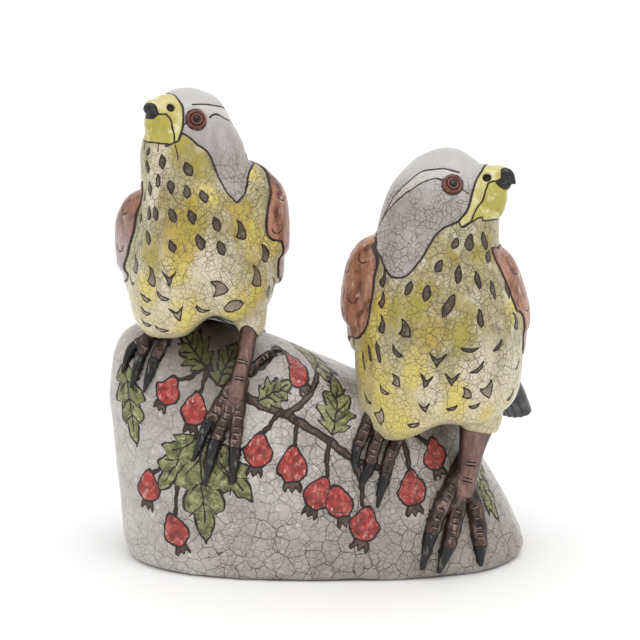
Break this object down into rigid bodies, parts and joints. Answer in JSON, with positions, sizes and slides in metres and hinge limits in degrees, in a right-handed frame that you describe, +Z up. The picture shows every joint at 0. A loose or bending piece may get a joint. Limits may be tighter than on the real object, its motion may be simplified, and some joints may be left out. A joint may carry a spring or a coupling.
{
  "type": "ceramic bird group",
  "caption": "Glazed ceramic group of thrushes perched on a sloping mound, with turned heads, short bills, folded wings, tails and long clawed toes over a flat underside.",
  "frame": {"origin": "centre of the mound's flat underside", "axes": "+Z up out of the mound, -Y toward the viewer of the painted front, +X toward the lower bird"},
  "size_m": [0.2593, 0.1505, 0.283],
  "materials": {
    "glazed_clay": "gloss crackle glaze, hand painted"
  },
  "bodies": {
    "root": {"bird_group": "glazed_clay"}
  },
  "joints": []
}
